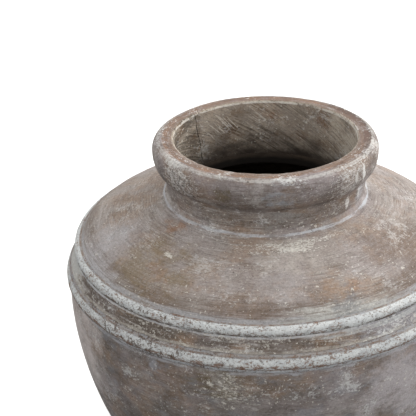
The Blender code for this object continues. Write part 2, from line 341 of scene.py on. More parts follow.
def washedClay(name, look):
    # low-fired terracotta brushed with thinned wash and lime: matt all over, cloudy, and chalky where the
    # lime is thick
    material = bpy.data.materials.new(name)
    material.use_nodes = True
    tree = material.node_tree
    shader = tree.nodes["Principled BSDF"]
    shader.inputs["IOR"].default_value = clayFinish["ior"]
    shader.inputs["Specular IOR Level"].default_value = clayFinish["specular"]
    place = addNode(tree, "ShaderNodeTexCoord").outputs["Object"]
    split = addNode(tree, "ShaderNodeSeparateXYZ", {0: place}).outputs
    level = addNode(tree, "ShaderNodeCombineXYZ", {"X": split["X"], "Y": split["Y"]})
    radius = addNode(
        tree, "ShaderNodeVectorMath", {0: level.outputs[0]}, operation="LENGTH",
    ).outputs["Value"]
    along = addNode(
        tree, "ShaderNodeMath", {0: radius, 2: split["Z"]}, {1: look["lean"]}, operation="MULTIPLY_ADD",
    ).outputs[0]
    # in turned space a thin mark runs round the pot, because only its third axis climbs the wall: lean adds
    # its share of the radius to the height there, which keeps the mark thin on a sloping wall too
    turned = addNode(
        tree, "ShaderNodeCombineXYZ", {"X": split["X"], "Y": split["Y"], "Z": along},
    ).outputs[0]
    offSeam = addNode(tree, "ShaderNodeAttribute", attribute_name="seamGap").outputs["Fac"]
    drawnAt = addNode(tree, "ShaderNodeAttribute", attribute_name="drawnAt").outputs["Vector"]
    drawn = addNode(tree, "ShaderNodeSeparateXYZ", {0: drawnAt}).outputs
    spaces = {"plain": place, "turned": turned, "height": drawn["Z"], "radius": drawn["X"], "seam": offSeam}
    colour, relief = None, None
    for mark in look["stains"]:
        mask = stainMask(tree, spaces, mark)
        ends = {7: linearColour(mark["colour"])} | ({} if colour else {6: linearColour(look["base"])})
        links = {0: mask} | ({6: colour} if colour else {})
        colour = addNode(tree, "ShaderNodeMix", links, ends, data_type="RGBA").outputs[2]
        if "rise" in mark:
            links = {0: mask} | ({2: relief} if relief else {})
            values = {1: mark["rise"]} | ({} if relief else {2: 0.0})
            relief = addNode(tree, "ShaderNodeMath", links, values, operation="MULTIPLY_ADD").outputs[0]
    bump = addNode(tree, "ShaderNodeBump", {"Height": relief}, {"Strength": 1.0, "Distance": mm})
    (dark, pale), (smooth, chalky) = clayFinish["shade"], clayFinish["roughness"]
    chalkiness = addNode(
        tree, "ShaderNodeMapRange", {"Value": colour},
        {"From Min": dark, "From Max": pale, "To Min": smooth, "To Max": chalky},
    )
    tree.links.new(colour, shader.inputs["Base Color"])
    tree.links.new(bump.outputs[0], shader.inputs["Normal"])
    tree.links.new(chalkiness.outputs["Result"], shader.inputs["Roughness"])
    return material


def stain(colour, wide, tall, seed, cut, amount, **more):
    # a cloud, stroke or fleck over the ones before it: noise as wide and tall as the real mark, cut between
    # two levels and laid on by the amount. It may also have detail, rough and bend of the noise, slant,
    # rise in the bump, a patch, the limits where it lies, and how firmly they grip it
    return {"colour": colour, "size": (wide, wide, tall), "seed": seed, "cut": cut, "amount": amount} | more


def streak(*values, **more):  # a stain drawn out round the pot, as a brush or a wet rag leaves it
    return stain(*values, space="turned", **more)


def patch(wide, tall, seed, gain):  # a larger noise that gathers a stain here and thins it there
    return {"size": (wide, wide, tall), "seed": seed, "gain": gain}


clayColours = {
    "umber": "#594d43",
    "mauve": "#999091",
    "slate": "#85878b",
    "ochre": "#8f7660",
    "rust": "#8c6248",
    "lime": "#dcdddb",
    "cream": "#cfcac0",
    "chalk": "#b3afab",
    "soot": "#2f2924",
}


def cloudyWash(brown=1.0, grey=1.0, brush=1.0, lime=1.0):
    # what every face of the pot has first: clouds of brown and grey wash, brush lines and thin lime. A
    # hair of the brush leaves a line under a millimetre, drawn here about 2 mm tall so that it shows
    c = clayColours
    return [
        stain(c["mauve"], 75, 60, 3.1, (0.44, 0.6), 0.8 * grey, detail=5, rough=0.6),
        stain(c["ochre"], 46, 38, 9.7, (0.46, 0.62), 0.6 * brown, detail=8, rough=0.66),
        streak(c["umber"], 22, 11, 5.3, (0.5, 0.64), 0.45 * brown, detail=9, rough=0.7, bend=0.4),
        streak(c["umber"], 24, 2.4, 7.3, (0.53, 0.65), 0.45 * brush, detail=6, rough=0.7, rise=-0.06,
            patch=patch(50, 40, 6.1, 0.5)),
        streak(c["chalk"], 20, 1.8, 1.9, (0.53, 0.65), 0.5 * brush, detail=6, rough=0.7, rise=0.05,
            patch=patch(60, 40, 8.8, 0.5)),
        stain(c["chalk"], 15, 9, 14.2, (0.51, 0.62), 0.5 * lime, detail=10, rough=0.8, rise=0.05,
            patch=patch(55, 45, 15.1, 0.5)),
    ]


def fineMarks(lime=1.0, specks=1.0, grain=1.0):
    # what lies over the washes: dry-brushed lime, loose specks, pits and the grain of the clay. They are
    # under a millimetre on the real pot, and are drawn 2 to 4 mm wide so that they show
    c = clayColours
    return [
        streak(c["lime"], 3.8, 2.4, 21.4, (0.6, 0.66), 0.62 * lime, detail=8, rough=0.8, rise=0.1,
            patch=patch(34, 26, 22.6, 0.75)),
        stain(c["cream"], 3.0, 3.0, 27.5, (0.69, 0.75), 0.85 * specks, detail=1, rise=0.12,
            patch=patch(50, 40, 28.2, 0.3)),
        stain(c["soot"], 2.8, 2.2, 33.8, (0.66, 0.74), 0.55, detail=2, rise=-0.2),
        stain(c["chalk"], 2.4, 2.0, 36.9, (0.52, 0.7), 0.35 * grain, detail=4, rough=0.8),
        stain(c["soot"], 2.2, 1.8, 40.6, (0.4, 0.7), 0.34 * grain, detail=4, rough=0.8, rise=-0.16),
    ]


# dark umber terracotta, washed and rubbed back: matt and cloudy, with grey lime left in patches, and
# painted light that makes the far left and right of the wall paler
lowerWall = {
    "outer": [(204.9, 281), (213.8, 244.8), (202.2, 100.0), (102, 0)],
    "foot": 14.3, "top": (198.8, 297.6), "thick": 11,
    "searchSteps": 400, "outerSteps": 112, "innerSteps": 34, "turns": 480,
    "base": "#766e69", "lean": 0.35,
    "stains": cloudyWash(brown=0.9, grey=0.7, brush=0.6, lime=0.5) + [
        stain("#453c35", 42, 24, 42.4, (0.46, 0.66), 0.5, detail=7, rough=0.66),
        streak("#5d5044", 30, 12, 46.1, (0.38, 0.58), 0.55, detail=8, rough=0.7,
            where=[("near", (-75, -190, 266), 80)], grip=0.3),
        stain("#82858b", 34, 18, 43.2, (0.5, 0.64), 0.5, detail=8, rough=0.72),
        stain("#b5b3ae", 15, 7, 44.7, (0.57, 0.64), 0.5, detail=10, rough=0.8, bend=0.5, rise=0.08),
        # a pale grey band under the lower ridge: partly grey wash, partly painted light that lifts the
        # shade under the coil
        streak("#a9aaae", 30, 7, 40.2, (0.4, 0.58), 0.75, detail=8, rough=0.72,
            where=[("height", 267.5, 284, 3)], grip=0.4),
        # painted light: the far right and far left of the wall are painted paler, as if lit from the sides
        stain("#b0aaab", 44, 30, 47.3, (0.3, 0.54), 0.8, detail=8, rough=0.7,
            where=[("near", (138, -160, 234), 130)], grip=0.35),
        stain("#cfc6c3", 44, 30, 48.3, (0.14, 0.54), 0.95, detail=8, rough=0.7,
            where=[("near", (-205, -66, 240), 135)], grip=0.4),
        streak("#665941", 26, 6, 39.2, (0.4, 0.55), 0.6, detail=8, rough=0.74,
            where=[("near", (-46, -200, 257), 60)], grip=0.25),
        stain("#b5b3b1", 9, 6, 38.7, (0.4, 0.54), 0.6, detail=9, rough=0.8, rise=0.06,
            where=[("near", (72, -193, 257), 24)], grip=0.3),
        stain("#a8a8a9", 11, 10, 37.6, (0.4, 0.56), 0.6, detail=9, rough=0.8,
            where=[("near", (-152, -134, 209), 28)], grip=0.3),
        stain("#9297a0", 14, 9, 36.1, (0.4, 0.56), 0.6, detail=8, rough=0.76,
            where=[("near", (-105, -178, 264), 26)], grip=0.3),
        stain("#adaaa6", 14, 9, 45.5, (0.44, 0.58), 0.5, detail=9, rough=0.78,
            where=[("near", (-46, -203, 262), 40)], grip=0.25),
        stain("#d3cec3", 8, 1.7, 49.3, (0.5, 0.55), 0.7, detail=7, rough=0.8, bend=1.2, slant=16,
            rise=0.08, where=[("near", (-34, -204, 250), 48)], grip=0.2),
        stain("#d6d2c8", 3.8, 2.8, 41.8, (0.52, 0.56), 0.8, detail=8, rough=0.8, rise=0.08,
            where=[("near", (-44, -201, 251), 70)], grip=0.3, patch=patch(12, 7, 35.4, 0.45)),
    ] + fineMarks(lime=0.8, specks=0.8, grain=0.9),
}
# bare fired terracotta, scraped inside: brown and dusty, with painted shade that sinks it to black down the
# bore
innerLook = {
    "base": "#3d352e", "lean": 0.2,
    "stains": [
        stain("#4b4137", 40, 24, 2.2, (0.45, 0.6), 0.7, detail=6),
        streak("#2a241f", 24, 2.5, 4.4, (0.52, 0.66), 0.6, detail=5, rise=-0.1),
        stain("#5d5145", 3.4, 3.4, 6.6, (0.64, 0.72), 0.5, rise=0.1),
        # painted shade: near black low in the shoulder's bore, where the inside of the pot lies in shadow
        stain("#120f0d", 20, 8, 8.1, (-0.4, 0.4), 0.92, detail=4,
            where=[("radius", 60, 93.0, 0.8), ("height", 336, 355, 5)], grip=1.0),
    ],
}
innerClay = washedClay("bareFiredTerracotta", innerLook)


def makeLowerWall():
    shape = lowerWall
    full = bezierLine(shape["outer"], shape["searchSteps"])
    low = next(index for index, point in enumerate(full) if point.y < shape["foot"]) / shape["searchSteps"]
    top = Vector(shape["top"])
    outer = [top] + bezierLine(shape["outer"], shape["outerSteps"], 0, low)
    inner = parallelLine([top] + bezierLine(shape["outer"], shape["innerSteps"], 0, low), shape["thick"])
    inner[0].y = outer[0].y
    inner[-1].y = outer[-1].y
    piece = turnOutline("lowerHalf", outer + inner[::-1], shape["turns"])
    shapeByHand(piece)
    finishPiece(piece, "lower_wall", washedClay("brushedUmberTerracotta", shape), innerClay)


makeLowerWall()

# terracotta brushed with taupe: soft lilac and brown clouds, brush lines, and cream dashes at the top
shoulderWall = {
    "outer": [(100.5, 359.3), (186.8, 332.8), (192.6, 314.6)],
    "foot": (198.8, 297.8), "bore": [(91, 347.5), (91, 359.3)], "innerFrom": 92, "thick": 11,
    "outerSteps": 72, "innerSteps": 24, "turns": 560,
    "base": "#928881", "lean": -1.0,
    "stains": cloudyWash(brown=0.9, grey=0.4, brush=0.9, lime=0.25) + [
        stain("#64564b", 50, 14, 52.2, (0.28, 0.6), 0.5, detail=7, rough=0.66,
            where=[("height", 309, 331, 6)], grip=0.4),
        stain("#776546", 34, 24, 53.5, (0.34, 0.54), 0.58, detail=8, rough=0.72,
            where=[("near", (-108, -128, 332), 95)], grip=0.3),
        stain("#6d5b4c", 34, 20, 54.1, (0.36, 0.58), 0.55, detail=8, rough=0.72,
            where=[("near", (-6, -174, 326), 90)], grip=0.3),
        stain("#957053", 20, 14, 60.2, (0.46, 0.6), 0.35, detail=9, rough=0.74,
            where=[("near", (-100, -128, 333), 60)], grip=0.2),
        stain("#8f6a50", 16, 12, 61.4, (0.38, 0.54), 0.6, detail=9, rough=0.74,
            where=[("near", (-89, -72, 355), 34)], grip=0.3),
        stain("#acaaac", 40, 30, 55.9, (0.18, 0.6), 0.78, detail=8, rough=0.7,
            where=[("near", (-166, -60, 330), 88)], grip=0.5),
        stain("#a09b9a", 40, 30, 56.3, (0.34, 0.56), 0.6, detail=8, rough=0.7,
            where=[("near", (22, -159, 337), 60)], grip=0.3),
        stain("#64544a", 36, 22, 62.8, (0.3, 0.54), 0.7, detail=8, rough=0.72,
            where=[("near", (146, -90, 336), 100)], grip=0.25),
        stain("#8e7156", 16, 12, 50.2, (0.34, 0.58), 0.55, detail=9, rough=0.74,
            where=[("near", (64, -154, 333), 46)], grip=0.3),
        stain("#9a7252", 14, 10, 63.2, (0.36, 0.62), 0.42, detail=9, rough=0.74,
            where=[("near", (86, -148, 332), 32)], grip=0.3),
        stain("#b1a9a1", 30, 16, 48.6, (0.32, 0.54), 0.65, detail=8, rough=0.72,
            where=[("near", (22, -124, 352), 64)], grip=0.3),
        streak("#5f5349", 40, 1.5, 64.3, (0.52, 0.64), 0.22, detail=6, rough=0.7, rise=-0.06),
        streak("#b9b4af", 46, 1.5, 65.8, (0.53, 0.65), 0.2, detail=6, rough=0.7, rise=0.05),
        streak("#d3cfc6", 2.8, 1.5, 57.4, (0.46, 0.52), 0.8, detail=5, rough=0.7, rise=0.08,
            where=[("height", 350.6, 356, 1.2), ("near", (22, -122, 354), 95)], grip=0.2,
            patch=patch(30, 2.2, 58.8, 0.5)),
        stain("#bdb9b4", 8, 2.6, 59.6, (0.47, 0.54), 0.6, detail=9, rough=0.82, slant=26,
            where=[("near", (122, -64, 348), 62)], grip=0.25),
        streak("#a6a6a8", 30, 7, 51.4, (0.3, 0.54), 0.75, detail=8, rough=0.72,
            where=[("height", 312.5, 320.5, 2.4)], grip=0.4),
        streak("#b5b4ae", 26, 7, 31.4, (0.24, 0.48), 0.8, detail=8, rough=0.74,
            where=[("near", (66, -180, 320), 150), ("height", 312, 327, 4)], grip=0.6),
        stain("#6f7175", 14, 6, 30.8, (0.36, 0.54), 0.6, detail=8, rough=0.76,
            where=[("near", (78, -174, 321), 70)], grip=0.5),
        stain("#aaa7a8", 30, 12, 29.6, (0.1, 0.56), 0.72, detail=8, rough=0.72,
            where=[("near", (-172, -86, 320), 150), ("height", 312, 327, 5)], grip=0.6),
        streak("#5e4f44", 34, 1.6, 34.2, (0.47, 0.6), 0.5, detail=7, rough=0.7, rise=-0.06,
            where=[("height", 316, 331, 4)], grip=0.25),
        stain("#cfcac0", 9, 1.2, 49.9, (0.38, 0.48), 0.8, detail=6, rough=0.78, rise=0.1,
            where=[("near", (-93, -114, 343.5), 19, 0.22)], grip=0.5),
    ] + fineMarks(lime=0.45, specks=0.8),
}


def makeShoulder():
    shape = shoulderWall
    foot = Vector(shape["foot"])
    outer = bezierLine(shape["outer"], shape["outerSteps"]) + [foot]
    inner = parallelLine(bezierLine(shape["outer"], shape["innerSteps"]) + [foot], shape["thick"])
    inner = [point for point in inner if point.x > shape["innerFrom"]]
    inner[-1].y = foot.y
    bore = [Vector(point) for point in shape["bore"]]
    piece = turnOutline("shoulderHalf", outer + inner[::-1] + bore, shape["turns"])
    shapeByHand(piece)
    clay = washedClay("brushedTaupeTerracotta", shape)
    finishPiece(piece, "shoulder_wall", clay, innerClay)


makeShoulder()

# where each ridge has its lime, the thin brown line above it, the chipped fringe and the pale grey foot,
# which is partly grey wash and partly painted light in the shade under the coil
lowerRidge = {
    "outline": [
        (202.4, 291.8), (204.2, 290.6), (205.8, 289.0), (207.2, 287.0), (208.6, 284.8), (209.5, 282.6),
        (210.0, 280.4), (209.9, 278.4), (209.4, 276.6), (208.6, 275.0), (207.8, 273.6), (206.6, 272.4),
        (203.0, 272.8), (200.5, 284.0), (200.4, 289.6),
    ],
    "lime": [("height", 278.2, 287.4, 0.9)], "line": [("height", 287.6, 289.2, 0.4)],
    "fringe": [("height", 277.0, 281.6, 1.6)], "foot": [("height", 270, 277.0, 0.8)],
    "chips": "#7a5b48", "breaks": "#6f5848", "pits": (0.54, 0.57), "turns": 1240, "finer": 3,
    "flakes": {"size": 4.0, "ragged": 1.8, "cut": (0.62, 0.68), "depth": 0.45, "reach": 6, "weight": 0.6},
}
upperRidge = {
    "outline": [
        (190.6, 315.9), (192.2, 315.6), (193.8, 315.3), (195.5, 314.8), (197.2, 313.9), (198.6, 312.6),
        (199.4, 311.1), (199.7, 309.5), (199.7, 308.0), (199.4, 306.7), (198.8, 305.7), (197.4, 305.1),
        (193.4, 306.0), (190.2, 311.6),
    ],
    "lime": [("height", 306.5, 330, 0.8), ("radius", 194.6, 260, 0.8)],
    "line": [("radius", 192.4, 194.4, 0.5)],
    "fringe": [("height", 304.8, 309.4, 1.4)], "foot": [("height", 300, 306.4, 0.5)],
    "chips": "#645a53", "breaks": "#5d534b", "pits": (0.60, 0.63), "turns": 1180, "finer": 3,
    "flakes": {"size": 3.6, "ragged": 1.8, "cut": (0.62, 0.68), "depth": 0.4, "reach": 6, "weight": 0.6},
}


def ridgeLook(shape):
    # thick limewash over terracotta: a pale crust on the crest, chipped to the clay in small flakes, most
    # of them along its lower edge
    c = clayColours
    return {
        "base": "#98938f", "lean": 0.6,
        "stains": [
            stain(c["ochre"], 22, 7, 1.2, (0.47, 0.58), 0.3, detail=7, rough=0.7),
            streak(c["slate"], 34, 4, 2.9, (0.46, 0.56), 0.6, detail=7, rough=0.7),
            # the pale grey foot: partly grey wash, partly painted light against the shade in the groove
            # under the coil
            streak("#cfd1d4", 24, 3, 5.2, (0.22, 0.42), 0.92, detail=6, rough=0.7, where=shape["foot"]),
            stain("#cbcecd", 3.4, 2.2, 6.3, (0.3, 0.36), 0.84, detail=8, rough=0.84, rise=0.1,
                where=shape["lime"], grip=0.5),
            streak("#75604f", 9, 1.6, 4.4, (0.44, 0.54), 0.7, detail=6, rough=0.7, where=shape["line"],
                grip=0.6),
            stain("#9fa2a5", 13, 5, 9.1, (0.44, 0.6), 0.5, detail=9, rough=0.8),
            stain("#8b8a8a", 5, 30, 21.3, (0.59, 0.64), 0.6, detail=6, rough=0.8),
            stain(shape["breaks"], 7, 2.0, 22.6, (0.61, 0.65), 0.85, detail=8, rough=0.8, rise=-0.12,
                where=shape["fringe"], grip=0.25, patch=patch(24, 9, 23.1, 0.9)),
            stain(shape["chips"], 2.8, 1.8, 15.9, (0.48, 0.52), 0.8, detail=6, rough=0.75, rise=-0.12,
                where=shape["fringe"], grip=0.2, patch=patch(12, 5, 16.4, 0.8)),
            stain("#785c4b", 2.5, 1.6, 12.5, (0.57, 0.6), 0.75, detail=6, rough=0.75, rise=-0.12,
                patch=patch(15, 5, 13.1, 0.55)),
            stain("#54463b", 1.9, 2.4, 27.2, shape["pits"], 0.8, detail=5, rough=0.7, rise=-0.1,
                where=[("near", (-118, -170, 283), 230)], grip=0.25, patch=patch(9, 9, 28.4, 0.7)),
            stain("#806150", 3, 3, 18.4, (0.1, 0.2), 0.75, where=[("flaked", 0.4, 0.7)], grip=0.6),
            stain("#675c55", 2.0, 1.5, 17.7, (0.56, 0.61), 0.62, detail=3),
            stain(c["soot"], 2.2, 1.8, 40.6, (0.42, 0.72), 0.22, detail=4, rough=0.8, rise=-0.16),
        ],
    }


def makeRidge(name, shape, node, clay):
    piece = turnOutline(name, finerLine(shape["outline"], shape["finer"]), shape["turns"])
    shapeByHand(piece)
    flakes = shape["flakes"]
    wornFrom = (max(point[0] for point in shape["outline"]) - flakes["reach"]) * mm

    def flakeWeight(point):  # only the outside of the coil wears
        return flakes["weight"] if math.hypot(point.x, point.y) > wornFrom else 0.0

    chipSurface(piece, flakes, flakeWeight)
    finishPiece(piece, node, washedClay(clay, ridgeLook(shape)))


makeRidge("lowerRidge", lowerRidge, "lower_ridge_coil", "limewashedLowerCoil")
makeRidge("upperRidge", upperRidge, "upper_ridge_coil", "limewashedUpperCoil")

# umber terracotta wiped with a wet rag: streaks run round it, with lilac and grey wash left on the right,
# painted light in the groove under the upper ridge and a painted shadow line below it
bellyBelt = {
    "top": (199.4, 306.2), "bottom": (204.6, 291.2), "back": [(201.6, 289.0), (195.0, 304.6)],
    "dish": 0.5, "lines": 4, "lineDepth": 0.12, "steps": 36, "turns": 700,
    "base": "#6f655d", "lean": 0.4,
    "stains": cloudyWash(brown=1.2, grey=0.4, brush=1.2, lime=0.35) + [
        streak("#4a4038", 34, 8, 66.6, (0.46, 0.6), 0.5, detail=7, rough=0.7),
        # pale grey along the top, under the upper ridge: partly grey wash, partly painted light against the
        # groove's shade
        streak("#c2c3c5", 20, 2, 61.3, (0.32, 0.52), 0.85, detail=8, rough=0.75,
            where=[("height", 303.9, 309.0, 0.9)], grip=0.35),
        streak("#b9b9b6", 26, 9, 62.6, (0.22, 0.46), 0.88, detail=8, rough=0.75,
            where=[("near", (-196, -42, 300), 84)], grip=0.36),
        streak("#989599", 30, 10, 35.7, (0.28, 0.5), 0.8, detail=8, rough=0.75,
            where=[("near", (150, -138, 298), 260)], grip=0.6),
        streak("#5f5d62", 16, 3, 33.3, (0.44, 0.58), 0.6, detail=8, rough=0.75,
            where=[("near", (135, -152, 298), 210)], grip=0.5),
        streak("#b4b5b4", 22, 3, 32.9, (0.3, 0.5), 0.75, detail=8, rough=0.75,
            where=[("near", (108, -172, 302), 190), ("height", 299.6, 305, 1.2)], grip=0.6),
        # painted shade: a thin dark line under the upper ridge
        streak("#4f4a47", 22, 2, 69.4, (0.48, 0.6), 0.35, detail=6, rough=0.7,
            where=[("height", 302.5, 303.5, 0.5)], grip=0.4),
        streak("#a9a49b", 26, 4, 63.9, (0.38, 0.56), 0.65, detail=7, rough=0.7,
            where=[("height", 286, 294.4, 1.6)], grip=0.4),
        streak("#cbc7bd", 2.6, 1.7, 67.2, (0.57, 0.63), 0.65, detail=5, rough=0.7, rise=0.1,
            patch=patch(26, 7, 68.8, 0.6)),
    ] + fineMarks(lime=0.8),
}


def makeBelt():
    shape = bellyBelt
    top, bottom = Vector(shape["top"]), Vector(shape["bottom"])
    face = []
    for step in range(shape["steps"] + 1):
        share = step / shape["steps"]
        hollow = shape["dish"] * math.sin(math.pi * share)
        line = shape["lineDepth"] * (0.5 - 0.5 * math.cos(math.tau * share * shape["lines"]))
        face.append(top.lerp(bottom, share) - Vector((hollow + line, 0)))
    piece = turnOutline("bellyBand", face + [Vector(point) for point in shape["back"]], shape["turns"])
    shapeByHand(piece)
    finishPiece(piece, "belly_belt", washedClay("wipedUmberTerracotta", shape))


makeBelt()

insideNeck = ("radius", 60, 95.0, 1.0)
rimTop = ("height", 418.0, 423, 0.8)
# terracotta scraped inside with slanted strokes, brushed outside, with a dark crack at the slab's joint;
# painted shade darkens the bore and the joint's step, and painted light pales the bore's right side and the
# neck under the roll
neckCollar = {
    "outline": [
        (98.5, 420), (98.6, 386), (103.5, 386), (102.9, 381), (102.3, 376), (101.7, 371), (101.1, 366),
        (100.6, 361), (100.5, 358.0), (91.0, 358.0),
    ],
    "bore": [(92.2, 395), (92.6, 417.4)], "lip": [(92.8, 418.6), (93.4, 419.5), (94.4, 420), (96.4, 420)],
    "boreSteps": 44, "turns": 800,
    "seam": {"azimuth": 139.8, "middle": 391, "lean": 0.16, "sway": 0.5, "swayEvery": 31},  # slab's joint
    "crackDeep": 1.9, "crackWide": 1.2, "stepDeep": 1.4, "stepWide": 24, "stepFrom": (359, 368),
    "boreWithin": 95.5,  # points nearer the axis than this are the bore's
    "lipSway": 15, "lipOut": 1.7, "lipStill": 0.55, "lipFrom": (411, 417), "lipWithin": 97.5, "lipSoft": 3,
    "base": "#7d726b", "lean": -1.0,
    "stains": cloudyWash(brown=1.0, grey=0.5, lime=0.5) + [
        streak("#715b4d", 22, 6, 93.3, (0.34, 0.5), 0.7, detail=8, rough=0.72,
            where=[rimTop, ("radius", 93, 120, 1.2)], grip=0.4),
        # painted light: the neck is painted paler on the right under the roll, against the shade the roll
        # casts there
        stain("#a9a8ac", 16, 12, 67.7, (0.34, 0.54), 0.6, detail=8, rough=0.74,
            where=[("near", (93, -42, 372), 26)], grip=0.3),
        stain("#dad7d2", 2.4, 6, 83.4, (0.24, 0.38), 0.9, detail=6, rough=0.75, rise=0.14,
            where=[("near", (80, -65, 374), 8.0, 2.0)], grip=0.6),
        stain("#cfcdca", 2.4, 5, 82.1, (0.26, 0.4), 0.8, detail=6, rough=0.75, rise=0.12,
            where=[("near", (92, -46, 376), 8.0, 2.2)], grip=0.6),
        streak("#554a42", 16, 1.6, 87.1, (0.51, 0.61), 0.55, detail=6, rough=0.75, rise=-0.06,
            where=[("radius", 98, 120, 1)], grip=0.3),
        streak("#aaa6a2", 10, 1.4, 81.9, (0.53, 0.61), 0.55, detail=7, rough=0.8, rise=0.08,
            where=[("radius", 98, 120, 1)], grip=0.3),
        streak("#94928f", 22, 7, 82.7, (0.38, 0.56), 0.6, detail=8, rough=0.72,
            where=[("near", (12, -103, 382), 50)], grip=0.3),
        stain("#92877a", 30, 18, 70.3, (0.26, 0.4), 0.8, detail=8, rough=0.7, where=[insideNeck]),
        # painted light: the right side of the bore is painted paler, as if more light fell on it
        stain("#c3b9ab", 26, 18, 81.2, (0.28, 0.52), 0.82, detail=8, rough=0.72,
            where=[insideNeck, ("near", (88, 30, 392), 95)], grip=0.3),
        stain("#4d4439", 14, 9, 72.4, (0.26, 0.5), 0.8, detail=8, rough=0.7,
            where=[insideNeck, ("seam", 1, 120, 1.0)]),
        stain("#755a42", 22, 14, 71.8, (0.48, 0.62), 0.45, detail=9, rough=0.72, where=[insideNeck]),
        stain("#57402e", 16, 10, 68.1, (0.34, 0.54), 0.7, detail=9, rough=0.74,
            where=[insideNeck, ("near", (-38, 83, 388), 34)], grip=0.3),
        stain("#7a5238", 12, 8, 69.7, (0.38, 0.56), 0.7, detail=9, rough=0.74,
            where=[insideNeck, ("near", (6, 92, 406), 24)], grip=0.3),
        stain("#765641", 12, 8, 66.3, (0.36, 0.54), 0.65, detail=9, rough=0.74,
            where=[insideNeck, ("near", (62, 68, 408), 30)], grip=0.3),
        # painted shade: darker low on the back of the bore
        stain("#3b322b", 26, 14, 65.2, (0.3, 0.56), 0.6, detail=8, rough=0.7,
            where=[insideNeck, ("near", (-2, 91, 368), 34)], grip=0.3),
        stain("#3f342b", 34, 1.2, 73.1, (0.52, 0.59), 0.6, detail=7, rough=0.7, slant=31, rise=-0.1,
            where=[insideNeck]),
        stain("#aea292", 38, 1.1, 74.9, (0.52, 0.57), 0.55, detail=6, rough=0.7, slant=34,
            where=[insideNeck], patch=patch(26, 20, 75.5, 0.7)),
        stain("#cdc5b9", 40, 1.6, 76.2, (0.48, 0.53), 0.75, detail=3, rough=0.6, slant=52,
            where=[insideNeck, ("near", (-47, 79, 396), 26)], grip=0.2),
        stain("#c5bdb1", 34, 1.3, 77.7, (0.49, 0.55), 0.65, detail=3, rough=0.6, slant=40,
            where=[insideNeck, ("near", (-8, 92, 399), 22)], grip=0.2),
        # painted shade: darker on the recessed side of the joint's step
        stain(clayColours["umber"], 9, 12, 78.1, (0.36, 0.54), 0.6, detail=6,
            where=[insideNeck, ("seam", -9, -0.5, 3)], grip=0.4),
        stain("#2a231d", 4, 4, 79.3, (0.3, 0.46), 0.8,
            where=[("radius", 60, 96, 0.6), ("seam", -1.0, 0.7, 0.6)]),
        stain("#d3cdc3", 5, 3, 84.4, (0.38, 0.5), 0.75, detail=8, rough=0.8,
            where=[("height", 416.8, 423, 0.5), ("radius", 90, 93.4, 0.4)], grip=0.5,
            patch=patch(20, 20, 85.2, 0.6)),
    ] + fineMarks(lime=0.6, specks=0.9) + [
        streak("#6b584d", 12, 4, 79.9, (0.26, 0.48), 0.7, detail=8, rough=0.74,
            where=[rimTop, ("radius", 95.4, 110, 0.8), ("near", (98, 22, 420), 85)], grip=0.4),
        # painted shade: the bore sinks to near black towards its foot, where the inside lies in shadow
        stain("#2a231e", 26, 14, 80.6, (-0.48, 0.32), 0.97, detail=3,
            where=[("radius", 60, 94.4, 1.0), ("height", 300, 368, 27)], grip=1.0),
    ],
}


def seamGap(point):  # how far round the bore a point is from the seam, which leans and wanders a little
    seam = neckCollar["seam"]
    climb = point.z - seam["middle"] * mm
    aside = seam["lean"] * climb + seam["sway"] * mm * math.sin(math.tau * climb / (seam["swayEvery"] * mm))
    return math.radians(azimuthOf(point) - seam["azimuth"]) * math.hypot(point.x, point.y) - aside


def makeNeck():
    shape = neckCollar
    foot = Vector(shape["outline"][-1])
    bore = bezierLine([foot] + shape["bore"], shape["boreSteps"])[1:]
    wall, lip = [[Vector(point) for point in shape[part]] for part in ("outline", "lip")]
    piece = turnOutline("neckCollar", wall + bore + lip, shape["turns"])
    shapeByHand(piece)

    def inBore(point):
        within = math.hypot(point.x, point.y) < shape["boreWithin"] * mm
        return smoothstep(point.z / mm, *shape["stepFrom"]) if within else 0

    def crackWeight(point):
        near = shape["crackWide"] - abs(seamGap(point)) / mm
        return inBore(point) * smoothstep(near, 0, shape["crackWide"])

    def stepWeight(point):
        gap = -seamGap(point) / mm
        return inBore(point) * (gap > 0) * smoothstep(shape["stepWide"] - gap, 0, shape["stepWide"])

    def lipWeight(point):
        within = shape["lipWithin"] - math.hypot(point.x, point.y) / mm
        return smoothstep(point.z / mm, *shape["lipFrom"]) * smoothstep(within, 0, shape["lipSoft"])

    gaps = piece.data.attributes.new("seamGap", "FLOAT", "POINT")
    for index, vertex in enumerate(piece.data.vertices):
        gaps.data[index].value = seamGap(vertex.co)
    for name, weightAt in (("crack", crackWeight), ("step", stepWeight)):
        applyModifier(
            piece, "DISPLACE", direction="NORMAL", strength=-shape[name + "Deep"] * mm, mid_level=0,
            vertex_group=weighPoints(piece, name, weightAt),
        )
    applyModifier(
        piece, "DISPLACE", texture=cloudTexture("lipSway", shape["lipSway"]), direction="NORMAL",
        texture_coords="LOCAL", strength=shape["lipOut"] * mm, mid_level=shape["lipStill"],
        vertex_group=weighPoints(piece, "lip", lipWeight),
    )
    finishPiece(piece, "neck_collar", washedClay("scrapedTerracotta", shape))


makeNeck()

# slip smeared into the corner with a finger: soft taupe clouds, with a pale grey line at its foot
neckFillet = {
    "outline": [
        (100.0, 367.4), (100.7, 365.4), (101.3, 363.6), (102.1, 362.0), (103.2, 360.5), (104.6, 359.2),
        (106.4, 358.1), (108.4, 357.1), (107.0, 356.0), (99.6, 357.0),
    ],
    "turns": 480, "finer": 3,
    "base": "#877e79", "lean": -1.0,
    "stains": cloudyWash(grey=0.6) + [
        streak("#b6b8bc", 24, 6, 91.2, (0.34, 0.56), 0.85, detail=8, rough=0.75,
            where=[("height", 358.2, 360.8, 1.0)], grip=0.35),
    ] + fineMarks(),
}


def makeFillet():
    shape = neckFillet
    piece = turnOutline("neckFootCoil", finerLine(shape["outline"], shape["finer"]), shape["turns"])
    shapeByHand(piece)
    finishPiece(piece, "neck_fillet_coil", washedClay("smearedTerracotta", shape))


makeFillet()

rollFace = ("height", 386, 416.5, 1.6)
